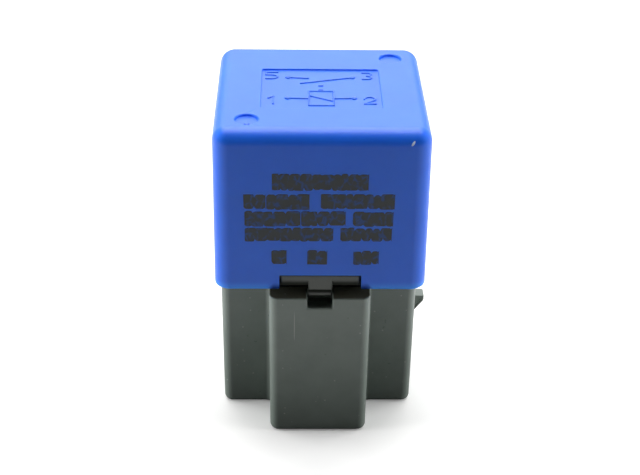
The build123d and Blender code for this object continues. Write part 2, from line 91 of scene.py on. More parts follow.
def join(tree, *ends):
    """Links made in pairs: a node's output to another node's input."""
    for start, end in zip(ends[::2], ends[1::2]):
        tree.links.new(start, end)


def spread(tree, start, end, low=0.0, high=1.0, soft=True):
    """A node that turns values from start to end into values from low to high."""
    node = add(tree, "ShaderNodeMapRange", interpolation_type="SMOOTHSTEP" if soft else "LINEAR")
    for socket, value in zip(("From Min", "From Max", "To Min", "To Max"), (start, end, low, high)):
        node.inputs[socket].default_value = value
    return node


def placed(name, data):
    """An object in the scene, at the origin."""
    made = bpy.data.objects.new(name, data)
    bpy.context.scene.collection.objects.link(made)
    return made


def new_finish(name, colour, roughness, metallic=0.0):
    """A material with its main shader, and Object coordinates to drive its patterns."""
    material = bpy.data.materials.new(name)
    material.use_nodes = True
    tree = material.node_tree
    shader = tree.nodes["Principled BSDF"]
    shader.inputs["Base Color"].default_value = colour
    shader.inputs["Roughness"].default_value = roughness
    shader.inputs["Metallic"].default_value = metallic
    place = add(tree, "ShaderNodeTexCoord").outputs["Object"]
    return material, tree, shader, place


def mottled(tree, place, colours, scale, detail=4.0):
    """A slow, soft change between two colours over the surface."""
    noise = add(tree, "ShaderNodeTexNoise", Scale=scale, Detail=detail, Roughness=0.6)
    ramp = add(tree, "ShaderNodeValToRGB")
    for stop, colour, at in zip(ramp.color_ramp.elements, colours, (0.35, 0.65)):
        stop.color = colour
        stop.position = at
    join(tree, place, noise.inputs["Vector"], noise.outputs["Fac"], ramp.inputs["Fac"])
    return ramp.outputs["Color"]


def uneven_gloss(tree, place, shader, lowest, highest, scale):
    """Roughness that wanders between two values."""
    noise = add(tree, "ShaderNodeTexNoise", Scale=scale, Detail=3.0)
    gloss = spread(tree, 0.0, 1.0, lowest, highest, soft=False)
    join(tree, place, noise.inputs["Vector"], noise.outputs["Fac"], gloss.inputs["Value"],
         gloss.outputs["Result"], shader.inputs["Roughness"])


def grain(tree, place, shader, scale, height, strength=1.0):
    """Fine bumps, of that many per metre and that height."""
    noise = add(tree, "ShaderNodeTexNoise", Scale=scale, Detail=2.0)
    bump = add(tree, "ShaderNodeBump", Strength=strength, Distance=height)
    join(tree, place, noise.inputs["Vector"], noise.outputs["Fac"], bump.inputs["Height"],
         bump.outputs["Normal"], shader.inputs["Normal"])


def near_point(tree, place, centre, half_sizes, ragged=0.0, ragged_scale=1.0, lean=0.0):
    """A mask of 1 inside an ellipsoid about a point and 0 outside, leaning and ragged if asked."""
    shift = add(tree, "ShaderNodeVectorMath", operation="SUBTRACT")
    shift.inputs[1].default_value = centre
    swing = add(tree, "ShaderNodeVectorRotate", rotation_type="Y_AXIS", Angle=lean)
    squeeze = add(tree, "ShaderNodeVectorMath", operation="DIVIDE")
    squeeze.inputs[1].default_value = half_sizes
    length = add(tree, "ShaderNodeVectorMath", operation="LENGTH")
    join(tree, place, shift.inputs[0], shift.outputs[0], swing.inputs["Vector"],
         swing.outputs[0], squeeze.inputs[0], squeeze.outputs[0], length.inputs[0])
    distance = length.outputs["Value"]
    if ragged:
        noise = add(tree, "ShaderNodeTexNoise", Scale=ragged_scale, Detail=2.0)
        wobble = add(tree, "ShaderNodeMath", operation="MULTIPLY_ADD")
        wobble.inputs[1].default_value = ragged
        join(tree, place, noise.inputs["Vector"], noise.outputs["Fac"], wobble.inputs[0],
             distance, wobble.inputs[2])
        distance = wobble.outputs[0]
    mask = spread(tree, FADE_FROM, 1.0, 1.0, 0.0)
    join(tree, distance, mask.inputs["Value"])
    return mask.outputs["Result"]


def laid_over(tree, mask, under, colour):
    """A plain colour laid over another where a mask is 1."""
    mix = add(tree, "ShaderNodeMix", data_type="RGBA")
    mix.inputs[7].default_value = colour
    join(tree, mask, mix.inputs[0], under, mix.inputs[6])
    return mix.outputs[2]


def beyond(tree, place, axis, start, end, either_side=False):
    """A mask from 0 to 1 between two places on an axis, or on both sides of its middle."""
    parts = add(tree, "ShaderNodeSeparateXYZ")
    join(tree, place, parts.inputs[0])
    at = parts.outputs[axis]
    if either_side:
        distance = add(tree, "ShaderNodeMath", operation="ABSOLUTE")
        join(tree, at, distance.inputs[0])
        at = distance.outputs[0]
    mask = spread(tree, start, end)
    join(tree, at, mask.inputs["Value"])
    return mask.outputs["Result"]


def both(tree, first, second, operation="MULTIPLY"):
    """One mask times another, less the other, or the greater of the two."""
    node = add(tree, "ShaderNodeMath", operation=operation, use_clamp=True)
    join(tree, first, node.inputs[0], second, node.inputs[1])
    return node.outputs[0]


def dulled(tree, mask, shader, shine):
    """Shine, but none where a mask is 1."""
    left = spread(tree, 0.0, 1.0, shine, 0.0, soft=False)
    join(tree, mask, left.inputs["Value"],
         left.outputs["Result"], shader.inputs["Specular IOR Level"])


def specks(tree, place):
    """A mask of sparse round specks of dust, one in a cell or none."""
    cells = add(tree, "ShaderNodeTexVoronoi", Scale=DUST_CELLS)
    near = add(tree, "ShaderNodeMath", operation="LESS_THAN")
    near.inputs[1].default_value = DUST_SIZE
    chosen = add(tree, "ShaderNodeSeparateColor")
    few = add(tree, "ShaderNodeMath", operation="GREATER_THAN")
    few.inputs[1].default_value = DUST_SHARE
    join(tree, place, cells.inputs["Vector"], cells.outputs["Distance"], near.inputs[0],
         cells.outputs["Color"], chosen.inputs[0], chosen.outputs[0], few.inputs[0])
    return both(tree, near.outputs[0], few.outputs[0])


def dark_moulding(name, deep, grey):
    """Glass-filled plastic: dark grey and satin. The caller finishes its colour."""
    material, tree, shader, place = new_finish(name, grey, HOUSING_GLOSS[0])
    uneven_gloss(tree, place, shader, *HOUSING_GLOSS, 700)
    grain(tree, place, shader, 6000, 0.02 * MM, 0.5)
    return material, tree, shader, place, mottled(tree, place, (deep, grey), 260)


def housing_moulding():
    """The housing's plastic, with painted shade on the arms' tops, a few specks of dust and one
    scratch.
    """
    material, tree, shader, place, colour = dark_moulding(
        "dark_moulding", HOUSING_GREY_DEEP, HOUSING_GREY)
    # Painted shade: the arms' tops are darker, where the cover hangs over them.
    top_shade = beyond(tree, place, "Z", *HOUSING_TOP_SHADE_FROM)
    colour = laid_over(tree, top_shade, colour, HOUSING_TOP_SHADE)
    colour = laid_over(tree, specks(tree, place), colour, DUST)
    rub = near_point(tree, place, RUB_PLACE, RUB_HALF, *RUB_RAGGED)
    join(tree, laid_over(tree, rub, colour, RUB), shader.inputs["Base Color"])
    return material


def merged_mesh(node):
    """The closed form of a CAD node's loose triangles, with its flat faces whole again."""
    form = bmesh.new()
    form.from_mesh(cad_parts[node].data)
    bmesh.ops.remove_doubles(form, verts=form.verts, dist=WELD_WITHIN)
    bmesh.ops.dissolve_limit(form, angle_limit=FLAT_WITHIN, verts=form.verts,
                             edges=form.edges, delimit=set())
    return form


def round_edges(form, width, steps, where):
    """Roll the sharp edges for which where(middle) is true over a small radius."""
    sharp = [edge for edge in form.edges
             if edge.is_manifold and edge.calc_face_angle() > SHARP_FROM
             and where((edge.verts[0].co + edge.verts[1].co) / 2)]
    bmesh.ops.bevel(form, geom=sharp, offset=width, offset_type="OFFSET", segments=steps,
                    profile=0.5, affect="EDGES", clamp_overlap=False)


def outside(at, reach):
    """Whether a place is farther out than that, to one side at least."""
    return max(abs(at.x), abs(at.y)) > reach


def shown(form, name, material):
    """An object from a finished form, smooth but for its sharp edges."""
    mesh = bpy.data.meshes.new(name)
    form.to_mesh(mesh)
    form.free()
    mesh.materials.clear()
    mesh.materials.append(material)
    mesh.shade_smooth()
    mesh.set_sharp_from_angle(angle=CREASE_FROM)
    piece = placed(name, mesh)
    even = piece.modifiers.new("even_normals", "WEIGHTED_NORMAL")
    even.keep_sharp = True
    return piece


form = merged_mesh("leg_housing")
round_edges(form, HOUSING_FOOT_EDGE, 3, lambda at: at.z < FOOT_BAND and outside(at, ARM_ROOT))
round_edges(form, HOUSING_EDGE, 2, lambda at: at.z > FOOT_BAND)
housing = shown(form, "housing_moulding", housing_moulding())
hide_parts("leg_housing")
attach(housing, "relay")

# Terminals: brass strip, stamped and folded, each with a socket for a blade at its foot. They are
# pressed into the base before the housing is pushed over them.
BRASS = (0.72, 0.53, 0.26, 1)
BRASS_DULL = (0.60, 0.43, 0.20, 1)


def drawn_metal(name, bright, dull, lowest, highest):
    """Rolled strip or wire: two shades of one metal and fine lines along its length."""
    material, tree, shader, place = new_finish(name, bright, lowest, 1.0)
    join(tree, mottled(tree, place, (dull, bright), 500), shader.inputs["Base Color"])
    uneven_gloss(tree, place, shader, lowest, highest, 1500)
    stretch = add(tree, "ShaderNodeMapping", vector_type="POINT")
    stretch.inputs["Scale"].default_value = (1, 1, 0.04)
    join(tree, place, stretch.inputs["Vector"])
    grain(tree, stretch.outputs["Vector"], shader, 9000, 0.004 * MM, 0.6)
    return material


def dress(nodes, material):
    """Give CAD nodes their finish."""
    for node in nodes:
        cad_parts[node].material_slots[0].material = material


dress(["terminal_1", "terminal_2", "terminal_3", "terminal_5"],
      drawn_metal("terminal_brass", BRASS, BRASS_DULL, 0.28, 0.45))

# Base: a moulded plate that carries everything inside, of the same dark plastic. A tab fills the
# cover's notch front and rear, and a tongue below it drops into the housing.
BASE_EDGE = 0.12 * MM
BASE_EDGES_FROM = 10 * MM               # from the middle, where the edges are in sight
# The base's grey is painted darker than the housing's, as shade on the tab that sits back in the
# cover's notch.
BASE_SHADED_GREY = (0.086, 0.096, 0.084, 1)
BASE_SHADED_GREY_DEEP = (0.076, 0.085, 0.075, 1)
BASE_SHADE = (0.030, 0.033, 0.028, 1)     # painted shade on its set-back faces
BASE_TURN = (24.85 * MM, 24.1 * MM)     # where the tab turns back under itself
BLOCK_HALF = 1.5 * MM                   # of the tab's thicker middle, half its width
BLOCK_FOOT = (23.23 * MM, 23.17 * MM)   # just above that middle's foot and just below it
BASE_STEP = 0.1 * MM                    # over which one shade passes into the other
BASE_SHINE = 0.5
LIP = (21.7 * MM, 21.95 * MM)           # top of the tongue's lower edge, below the painted shade


def base_moulding():
    """The base's plastic, with painted shade: darker overall, and darker still under the tab and
    above the tongue's lip.
    """
    material, tree, shader, place, colour = dark_moulding(
        "base_moulding", BASE_SHADED_GREY_DEEP, BASE_SHADED_GREY)
    # Painted shade under the tab's turned-back sides, and on the tongue just below the tab's
    # middle.
    aside = beyond(tree, place, "X", BLOCK_HALF, BLOCK_HALF + BASE_STEP, either_side=True)
    under = both(tree, beyond(tree, place, "Z", *BASE_TURN), aside)
    tongue = both(tree, beyond(tree, place, "Z", *LIP), beyond(tree, place, "Z", *BLOCK_FOOT))
    painted_shade = both(tree, under, tongue, "MAXIMUM")
    join(tree, laid_over(tree, painted_shade, colour, BASE_SHADE), shader.inputs["Base Color"])
    dulled(tree, painted_shade, shader, BASE_SHINE)
    return material


form = merged_mesh("base")
round_edges(form, BASE_EDGE, 2, lambda at: outside(at, BASE_EDGES_FROM))
base = shown(form, "base_moulding", base_moulding())
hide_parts("base")
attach(base, "relay")

# Magnet: a bent yoke and a core of soft iron, zinc-plated and passivated. The core is riveted in
# the yoke's foot, and the armature rocks on the yoke's upper rear edge.
IRON = (0.56, 0.57, 0.58, 1)
IRON_DULL = (0.42, 0.43, 0.43, 1)

dress(["yoke", "core", "armature"], drawn_metal("soft_iron", IRON, IRON_DULL, 0.34, 0.52))

# Bobbin: a black nylon spool with a stop gate for the armature on its upper flange. It slips over
# the core before the pole head is closed.
NYLON = (0.055, 0.056, 0.058, 1)
NYLON_PALE = (0.075, 0.076, 0.078, 1)


def bobbin_moulding():
    """Black nylon, satin, with a faint flow pattern."""
    material, tree, shader, place = new_finish("bobbin_moulding", NYLON, 0.4)
    join(tree, mottled(tree, place, (NYLON, NYLON_PALE), 400), shader.inputs["Base Color"])
    uneven_gloss(tree, place, shader, 0.34, 0.46, 900)
    grain(tree, place, shader, 7000, 0.015 * MM, 0.5)
    return material


dress(["bobbin"], bobbin_moulding())

# Winding: enamelled copper wire in even turns between the bobbin's flanges. Its two ends run down
# to the coil terminals, where they are soldered.
ENAMEL = (0.55, 0.16, 0.045, 1)
ENAMEL_DEEP = (0.40, 0.10, 0.03, 1)
WIRE = 0.16 * MM
TURN_SIDES = 64
WIRE_SIDES = 6
WIRE_CREASE_FROM = math.radians(61)
WOUND_FROM = 0.9        # of the radius, outside which the sleeve makes room for the turns


def group_input(tree, name, kind, value):
    """A named input of a geometry tree, with its usual value."""
    socket = tree.interface.new_socket(name=name, in_out="INPUT", socket_type=kind)
    socket.default_value = value
    return socket


def new_tree(name):
    """An empty geometry tree with geometry in and out."""
    tree = bpy.data.node_groups.new(name, "GeometryNodeTree")
    tree.interface.new_socket(name="Geometry", in_out="INPUT", socket_type="NodeSocketGeometry")
    tree.interface.new_socket(name="Geometry", in_out="OUTPUT", socket_type="NodeSocketGeometry")
    return tree


def finish_tree(tree, geometry, material):
    """End a tree in real geometry with its material set."""
    real = add(tree, "GeometryNodeRealizeInstances")
    coat = add(tree, "GeometryNodeSetMaterial")
    coat.inputs["Material"].default_value = material
    out = add(tree, "NodeGroupOutput")
    join(tree, geometry, real.inputs["Geometry"], real.outputs["Geometry"],
         coat.inputs["Geometry"], coat.outputs["Geometry"], out.inputs["Geometry"])


def grown(name, tree, start, values):
    """The plain mesh object that a geometry tree makes from a starting mesh or curve."""
    seed = placed(name, start)
    grow = seed.modifiers.new("grow", "NODES")
    grow.node_group = tree
    ids = {item.name: item.identifier for item in tree.interface.items_tree
           if item.item_type == "SOCKET" and item.in_out == "INPUT"}
    for key, value in values.items():
        grow[ids[key]] = value
    seen = seed.evaluated_get(bpy.context.evaluated_depsgraph_get())
    mesh = bpy.data.meshes.new_from_object(seen)
    bpy.data.objects.remove(seed)
    mesh.name = name
    return placed(name, mesh)


def winding_tree(material):
    """Rings of wire stacked from the lower flange to the upper one, round a plain sleeve."""
    tree = new_tree("winding_turns")
    group_input(tree, "Coil Radius", "NodeSocketFloat", 0.0)
    group_input(tree, "Wire Radius", "NodeSocketFloat", 0.0)
    group_input(tree, "Turns", "NodeSocketInt", 1)
    group_input(tree, "Bottom", "NodeSocketVector", (0, 0, 0))
    given = add(tree, "NodeGroupInput")
    ring = add(tree, "GeometryNodeCurvePrimitiveCircle", mode="RADIUS")
    ring.inputs["Resolution"].default_value = TURN_SIDES
    wire = add(tree, "GeometryNodeCurvePrimitiveCircle", mode="RADIUS")
    wire.inputs["Resolution"].default_value = WIRE_SIDES
    turn = add(tree, "GeometryNodeCurveToMesh")
    step = add(tree, "ShaderNodeCombineXYZ")
    pitch = add(tree, "ShaderNodeMath", operation="MULTIPLY")
    pitch.inputs[1].default_value = 2.0
    stack = add(tree, "GeometryNodeMeshLine", mode="OFFSET")
    turns = add(tree, "GeometryNodeInstanceOnPoints")
    whole = add(tree, "GeometryNodeJoinGeometry")
    join(tree, given.outputs["Coil Radius"], ring.inputs["Radius"],
         given.outputs["Wire Radius"], wire.inputs["Radius"],
         ring.outputs["Curve"], turn.inputs["Curve"], wire.outputs["Curve"],
         turn.inputs["Profile Curve"], given.outputs["Wire Radius"], pitch.inputs[0],
         pitch.outputs[0], step.inputs["Z"], given.outputs["Turns"], stack.inputs["Count"],
         given.outputs["Bottom"], stack.inputs["Start Location"],
         step.outputs[0], stack.inputs["Offset"], stack.outputs["Mesh"], turns.inputs["Points"],
         turn.outputs["Mesh"], turns.inputs["Instance"],
         turns.outputs["Instances"], whole.inputs["Geometry"],
         given.outputs["Geometry"], whole.inputs["Geometry"])
    finish_tree(tree, whole.outputs["Geometry"], material)
    return tree


def sleeve(name, low, high, wall):
    """The body of the winding under its outer turns, as a tube between the same ends."""
    middle = (low + high) / 2
    outer = (high.x - low.x) / 2 - wall
    form = merged_mesh("winding")
    for vert in form.verts:
        arm = Vector((vert.co.x - middle.x, vert.co.y - middle.y))
        if arm.length > outer * WOUND_FROM:
            arm *= outer / arm.length
            vert.co.x, vert.co.y = middle.x + arm.x, middle.y + arm.y
    mesh = bpy.data.meshes.new(name)
    form.to_mesh(mesh)
    form.free()
    return mesh


copper = drawn_metal("enamelled_copper", ENAMEL, ENAMEL_DEEP, 0.22, 0.34)
low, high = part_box("winding")
turn_count = int((high.z - low.z) / WIRE)
coil_middle = (low + high) / 2
core_sleeve = sleeve("winding_sleeve", low, high, WIRE / 2)
winding = grown("winding_turns", winding_tree(copper), core_sleeve, {
    "Coil Radius": (high.x - low.x) / 2 - WIRE / 2,
    "Wire Radius": WIRE / 2,
    "Turns": turn_count,
    "Bottom": Vector((coil_middle.x, coil_middle.y, low.z + WIRE / 2)),
})
winding.data.shade_smooth()
winding.data.set_sharp_from_angle(angle=WIRE_CREASE_FROM)
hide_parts("winding")
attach(winding, "relay")
dress(["coil_lead_start", "coil_lead_finish"], copper)

# Solder: a bead of tin solder on each coil terminal, which holds the wire's end in its notch. It
# is melted on once the coil is wound.
SOLDER = (0.66, 0.67, 0.69, 1)
SOLDER_DULL = (0.50, 0.51, 0.53, 1)

dress(["solder_joints"], drawn_metal("solder", SOLDER, SOLDER_DULL, 0.2, 0.4))

# Contact spring, contacts and rivets: a bronze leaf that returns the armature and carries the
# moving contact. The contacts are silver, riveted through their strips, and the rivets are brass.
BRONZE = (0.66, 0.42, 0.24, 1)
BRONZE_DULL = (0.54, 0.33, 0.18, 1)
SILVER = (0.80, 0.79, 0.76, 1)
SILVER_DULL = (0.64, 0.62, 0.58, 1)

leaf = shown(merged_mesh("contact_spring"), "spring_leaf",
             drawn_metal("spring_bronze", BRONZE, BRONZE_DULL, 0.25, 0.38))
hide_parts("contact_spring")
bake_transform(leaf)
dress(["moving_contact", "fixed_contact"],
      drawn_metal("contact_silver", SILVER, SILVER_DULL, 0.22, 0.36))
dress(["armature_rivets", "yoke_rivets"],
      drawn_metal("rivet_brass", BRASS, BRASS_DULL, 0.25, 0.4))

# Cover: a blue moulded cap, snapped over the base. Its walls lean in towards the top, its edges
# are rounded, and a small nick shows at the front corner of the roof.
COVER_BLUE = (0.015, 0.146, 0.81, 1)
COVER_BLUE_DEEP = (0.014, 0.136, 0.77, 1)
RIM_GLOW_BLUE = (0.030, 0.285, 1.0, 1)       # painted light on the lower rim's corners, where the wall is free
RIM_GLOW_HEIGHT = 1.3 * MM
RIM_SHADE = (0.003, 0.022, 0.12, 1)      # painted shade where the rim sits close over an arm
RIM_SHADE_HEIGHT = (1.2 * MM, 0.1 * MM)
ARM_SPAN = (5.9 * MM, 6.9 * MM)         # from the middle, across the line of an arm's side
COVER_GLOW = 0.25               # light that passes into the thin walls and comes out again
COVER_GLOW_DEPTH = (0.3, 0.8, 1.8)     # how far red, green and blue pass, in millimetres
NICK_PALE = (0.75, 0.86, 0.97, 1)
NICK_PLACE = Vector((10.9, -13.25, 44.25)) * MM
NICK_HALF = Vector((0.20, 0.6, 0.50)) * MM
NICK_LEAN = math.radians(-32)
NICK_RAGGED = (0.3, 2200)
COVER_SHINE = 0.5
DISHES = [((-9.25, -9.25), (-9.2, -9.7)), ((9.25, 9.25), (9.4, 8.9))]    # from and to, in mm
DISH_REACH = 1.7 * MM
DISH_BANDS = (0.4 * MM, 0.3 * MM)       # below the roof: all of a dish, and its floor alone
DISH_FLOOR = 1.12               # the dishes' floor is wider by this share, and their wall steeper
COVER_LOWER_EDGE = 0.3 * MM
COVER_LOWER_BAND = 0.1 * MM     # above the rim
COVER_WALLS_FROM = 12.9 * MM    # from the middle
COVER_FINE_EDGE = 0.08 * MM
COVER_FINE_BAND = 0.5 * MM      # below the roof


def blue_moulding():
    """Blue plastic, satin and nearly even: painted light on the rim's corners, painted shade where
    the rim sits over the arms, and a nick.
    """
    material, tree, shader, place = new_finish("blue_moulding", COVER_BLUE, 0.36)
    shader.inputs["Subsurface Weight"].default_value = COVER_GLOW
    shader.inputs["Subsurface Radius"].default_value = COVER_GLOW_DEPTH
    shader.inputs["Subsurface Scale"].default_value = MM
    colour = mottled(tree, place, (COVER_BLUE_DEEP, COVER_BLUE), 180)
    corner = both(tree, beyond(tree, place, "X", *ARM_SPAN, either_side=True),
                  beyond(tree, place, "Y", *ARM_SPAN, either_side=True))
    # Painted light: the rim's corners are paler, as though lit through from the floor below.
    rim_glow = beyond(tree, place, "Z", cover_low.z + RIM_GLOW_HEIGHT, cover_low.z)
    colour = laid_over(tree, both(tree, rim_glow, corner), colour, RIM_GLOW_BLUE)
    # Painted shade, with no shine, where the rim sits close over an arm.
    rim_shade = beyond(tree, place, "Z", *(cover_low.z + height for height in RIM_SHADE_HEIGHT))
    rim_shade = both(tree, rim_shade, corner, "SUBTRACT")
    colour = laid_over(tree, rim_shade, colour, RIM_SHADE)
    dulled(tree, rim_shade, shader, COVER_SHINE)
    nick = near_point(tree, place, NICK_PLACE, NICK_HALF, *NICK_RAGGED, NICK_LEAN)
    colour = laid_over(tree, nick, colour, NICK_PALE)
    join(tree, colour, shader.inputs["Base Color"])
    uneven_gloss(tree, place, shader, 0.33, 0.40, 400)
    grain(tree, place, shader, 5000, 0.01 * MM, 0.4)
    return material


cover_low, cover_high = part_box("cover")
blue_finish = blue_moulding()
form = merged_mesh("cover")
for (x, y), (new_x, new_y) in DISHES:
    for vert in form.verts:
        away = math.hypot(vert.co.x - x * MM, vert.co.y - y * MM)
        if vert.co.z > cover_high.z - DISH_BANDS[0] and away < DISH_REACH:
            wider = DISH_FLOOR if vert.co.z < cover_high.z - DISH_BANDS[1] else 1
            vert.co.x = new_x * MM + (vert.co.x - x * MM) * wider
            vert.co.y = new_y * MM + (vert.co.y - y * MM) * wider
round_edges(form, COVER_LOWER_EDGE, 3,
            lambda at: at.z < cover_low.z + COVER_LOWER_BAND and outside(at, COVER_WALLS_FROM))
round_edges(form, COVER_FINE_EDGE, 2, lambda at: at.z > cover_high.z - COVER_FINE_BAND)
cover = shown(form, "cover_moulding", blue_finish)
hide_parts("cover")
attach(cover, "relay")

# Gate mark: the low round stub in the front dish, where the plastic was let into the mould and
# broken off. It is one with the cover.
GATE_PLACE = Vector((-9.15, -10.35, 0)) * MM
GATE_RINGS = [(0.33, 0.0), (0.33, 0.09), (0.25, 0.13), (0.1, 0.12)]     # radius and height
GATE_SIDES = 20
DISH_DEPTH = 0.35 * MM

form = bmesh.new()
rings = []
for radius, height in GATE_RINGS:
    ring = []
    for side in range(GATE_SIDES):
        turn = math.tau * side / GATE_SIDES
        at = Vector((radius * math.cos(turn), radius * math.sin(turn), height)) * MM
        ring.append(form.verts.new(at + GATE_PLACE + Vector((0, 0, cover_high.z - DISH_DEPTH))))
    rings.append(ring)
for lower, upper in zip(rings, rings[1:]):
    for side in range(GATE_SIDES):
        after = (side + 1) % GATE_SIDES
        form.faces.new((lower[side], lower[after], upper[after], upper[side]))
form.faces.new(rings[-1])
form.faces.new(rings[0][::-1])
gate = shown(form, "gate_mark", blue_finish)
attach(gate, "relay")

# Roof markings: raised lines on the floor of the cover's panel, moulded with it. They draw the
# circuit, a switch over a coil box, and number the four terminals.
PANEL_FLOOR = cover_high.z - 0.22 * MM
LINE_WIDTH = 0.28 * MM
LINE_HEIGHT = 0.13 * MM
LINE_SIDES = 12
DOT_WIDTH = 0.8 * MM
DOT_HEIGHT = 0.2 * MM
DOT_SIDES = 20
MARK_SHADED_BLUE = (0.011, 0.105, 0.58, 1)     # painted shade: the lines darker than the cover's blue


def arc(x, y, radius_x, radius_y, start, end, steps=10):
    """Points along part of an ellipse, its angles in degrees."""
    turns = [math.radians(start + (end - start) * step / steps) for step in range(steps + 1)]
    return [(x + radius_x * math.cos(turn), y + radius_y * math.sin(turn)) for turn in turns]


def five(x, y, width, height):
    """Numeral 5 from its lower left corner."""
    bowl = height * 0.3
    return [[(x + width, y + height), (x, y + height), (x, y + 2 * bowl)]
            + arc(x + width * 0.4, y + bowl, width * 0.6, bowl, 90, -90)
            + [(x, y)]]


def three(x, y, width, height):
    """Numeral 3 from its lower left corner."""
    bowl = height / 4
    return [[(x, y + height)] + arc(x + width * 0.5, y + 3 * bowl, width * 0.5, bowl, 90, -90)
            + arc(x + width * 0.5, y + bowl, width * 0.5, bowl, 90, -90)[1:] + [(x, y)]]


def one(x, y, width, height):
    """Numeral 1 from its lower left corner."""
    return [[(x, y + height * 0.78), (x + width, y + height), (x + width, y)]]


def two(x, y, width, height):
    """Numeral 2 from its lower left corner."""
    bowl = height * 0.3
    return [arc(x + width / 2, y + height - bowl, width / 2, bowl, 180, -35)
            + [(x, y), (x + width, y)]]


def box_outline(x0, y0, x1, y1):
    """A closed box from its lower left corner to its upper right one."""
    return [[(x0, y0), (x1, y0), (x1, y1), (x0, y1), (x0, y0)]]


def marking_strokes():
    """Every line of the marking, in millimetres across the roof."""
    strokes = five(-7.05, 2.6, 1.5, 2.0) + three(5.45, 2.55, 1.2, 2.0)
    strokes += one(-6.65, -4.95, 0.6, 2.15) + two(5.4, -4.9, 1.4, 1.95)
    strokes += box_outline(-1.55, -5.4, 1.55, -1.2) + [[(-1.35, -2.6), (1.35, -4.05)]]
    strokes += [[(-4.2, 3.05), (-1.6, 2.75)], [(-2.55, 1.2), (4.1, 3.05)]]
    strokes += [[(-4.25, -3.25), (-1.55, -3.4)], [(1.55, -3.4), (4.15, -3.25)]]
    strokes += [[(-0.2, 0.45), (0.2, 0.45)], [(-0.2, -0.85), (0.2, -0.85)]]
    return strokes


MARKING_DOTS = [(-4.2, 3.05), (4.1, 3.05), (-4.25, -3.25), (4.15, -3.25)]


def stroke_curve(name, strokes):
    """A curve with a spline for each stroke."""
    curve = bpy.data.curves.new(name, "CURVE")
    curve.dimensions = "3D"
    for stroke in strokes:
        spline = curve.splines.new("POLY")
        spline.points.add(len(stroke) - 1)
        for point, (x, y) in zip(spline.points, stroke):
            point.co = (x * MM, y * MM, 0, 1)
    return curve


def marking_tree(material):
    """Half-round lines along the strokes, with a low dome at each end so that corners close."""
    tree = new_tree("marking_lines")
    group_input(tree, "Line Width", "NodeSocketFloat", 0.0)
    group_input(tree, "Line Height", "NodeSocketFloat", 0.0)
    given = add(tree, "NodeGroupInput")
    half = add(tree, "ShaderNodeMath", operation="MULTIPLY")
    half.inputs[1].default_value = 0.5
    profile = add(tree, "GeometryNodeCurvePrimitiveCircle", mode="RADIUS")
    profile.inputs["Resolution"].default_value = LINE_SIDES
    line = add(tree, "GeometryNodeCurveToMesh")
    line.inputs["Fill Caps"].default_value = True
    knots = add(tree, "GeometryNodeCurveToPoints", mode="EVALUATED")
    knot = add(tree, "GeometryNodeMeshUVSphere")
    knot.inputs["Segments"].default_value = LINE_SIDES
    knot.inputs["Rings"].default_value = 8
    balls = add(tree, "GeometryNodeInstanceOnPoints")
    whole = add(tree, "GeometryNodeJoinGeometry")
    flat = add(tree, "ShaderNodeMath", operation="DIVIDE")
    scale = add(tree, "ShaderNodeCombineXYZ")
    scale.inputs["X"].default_value = 1
    scale.inputs["Y"].default_value = 1
    press = add(tree, "GeometryNodeTransform")
    join(tree, given.outputs["Line Width"], half.inputs[0], half.outputs[0],
         profile.inputs["Radius"], half.outputs[0], knot.inputs["Radius"],
         given.outputs["Geometry"], line.inputs["Curve"], profile.outputs["Curve"],
         line.inputs["Profile Curve"], given.outputs["Geometry"], knots.inputs["Curve"],
         knots.outputs["Points"], balls.inputs["Points"], knot.outputs["Mesh"],
         balls.inputs["Instance"], line.outputs["Mesh"], whole.inputs["Geometry"],
         given.outputs["Line Height"], flat.inputs[0], half.outputs[0], flat.inputs[1],
         flat.outputs[0], scale.inputs["Z"], whole.outputs["Geometry"],
         press.inputs["Geometry"], scale.outputs[0], press.inputs["Scale"],
         balls.outputs["Instances"], whole.inputs["Geometry"])
    finish_tree(tree, press.outputs["Geometry"], material)
    return tree


def marked_moulding():
    """The cover's blue plastic, painted darker on the raised lines as shade."""
    material, tree, shader, place = new_finish("marked_moulding", MARK_SHADED_BLUE, 0.36)
    join(tree, mottled(tree, place, (MARK_SHADED_BLUE, COVER_BLUE_DEEP), 1500),
         shader.inputs["Base Color"])
    uneven_gloss(tree, place, shader, 0.33, 0.40, 400)
    return material


marked_finish = marked_moulding()
markings = grown("roof_markings", marking_tree(marked_finish),
                 stroke_curve("roof_markings", marking_strokes()),
                 {"Line Width": LINE_WIDTH, "Line Height": LINE_HEIGHT})
markings.data.transform(Matrix.Translation((0, 0, PANEL_FLOOR)))
markings.data.shade_smooth()
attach(markings, "relay")


def dot_tree(material):
    """A low dome on each point."""
    tree = new_tree("marking_dots")
    group_input(tree, "Dot Width", "NodeSocketFloat", 0.0)
    group_input(tree, "Dot Height", "NodeSocketFloat", 0.0)
    given = add(tree, "NodeGroupInput")
    dome = add(tree, "GeometryNodeMeshUVSphere")
    dome.inputs["Segments"].default_value = DOT_SIDES
    dome.inputs["Rings"].default_value = DOT_SIDES // 2
    dome.inputs["Radius"].default_value = 0.5
    size = add(tree, "ShaderNodeCombineXYZ")
    twice = add(tree, "ShaderNodeMath", operation="MULTIPLY")
    twice.inputs[1].default_value = 2.0
    domes = add(tree, "GeometryNodeInstanceOnPoints")
    join(tree, given.outputs["Geometry"], domes.inputs["Points"], dome.outputs["Mesh"],
         domes.inputs["Instance"], given.outputs["Dot Width"], size.inputs["X"],
         given.outputs["Dot Width"], size.inputs["Y"], given.outputs["Dot Height"],
         twice.inputs[0], twice.outputs[0], size.inputs["Z"], size.outputs[0],
         domes.inputs["Scale"])
    finish_tree(tree, domes.outputs["Instances"], material)
    return tree


dot_places = bpy.data.meshes.new("roof_dots")
dot_places.from_pydata([(x * MM, y * MM, PANEL_FLOOR) for x, y in MARKING_DOTS], [], [])
dots = grown("roof_dots", dot_tree(marked_finish), dot_places,
             {"Dot Width": DOT_WIDTH, "Dot Height": DOT_HEIGHT})
dots.data.shade_smooth()
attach(dots, "relay")

